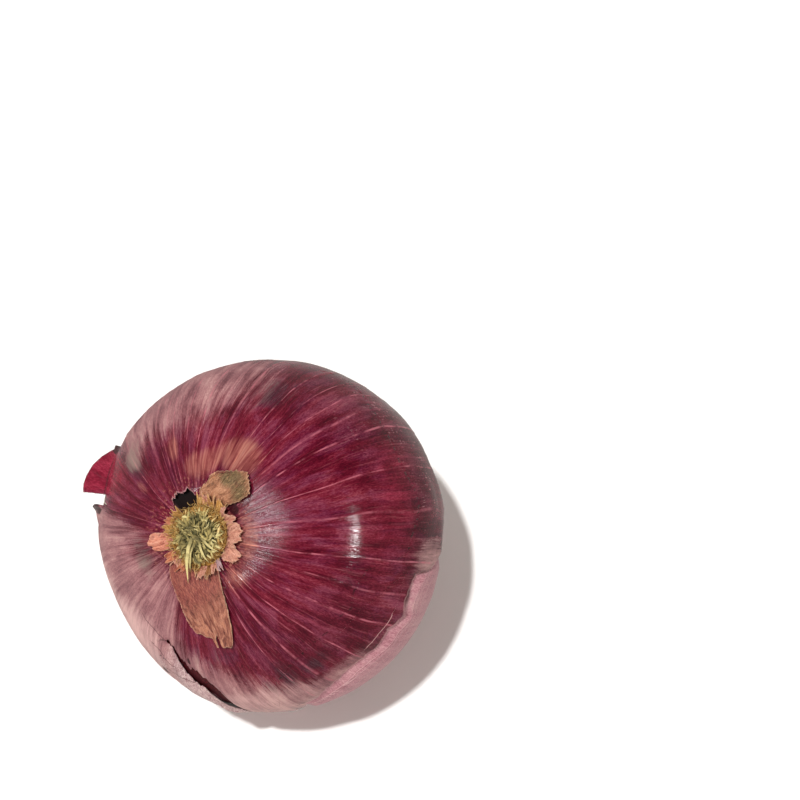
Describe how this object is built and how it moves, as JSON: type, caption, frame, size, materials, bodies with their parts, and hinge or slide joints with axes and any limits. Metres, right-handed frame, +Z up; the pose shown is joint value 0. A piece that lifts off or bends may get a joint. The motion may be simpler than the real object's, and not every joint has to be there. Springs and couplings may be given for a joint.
{
  "type": "onion",
  "caption": "Whole red onion lying tilted on a small flat spot, root tuft up, with torn papery outer skin and a folded dry neck.",
  "frame": {"origin": "middle of the small flat spot on the bulb's shoulder that the onion rests on", "axes": "+Z up. The root pole points up and leans towards -X and -Y, 32 degrees off +Z; the neck is underneath and runs along the table towards +X and +Y"},
  "size_m": [0.082, 0.0802, 0.0733],
  "materials": {
    "bulb": "pink-purple fleshy leaf, satin, darker towards the root; straw-coloured dry neck",
    "outer_skin": "deep wine red dry leaf with pale veins from root to neck, glossy with matte mauve patches",
    "root_collar": "tan to orange papery flakes, matte",
    "root_tuft": "greenish straw dry roots, matte"
  },
  "bodies": {
    "root": {"bulb": "bulb", "outer_skin": "outer_skin", "root_collar": "root_collar", "root_tuft": "root_tuft"}
  },
  "joints": []
}
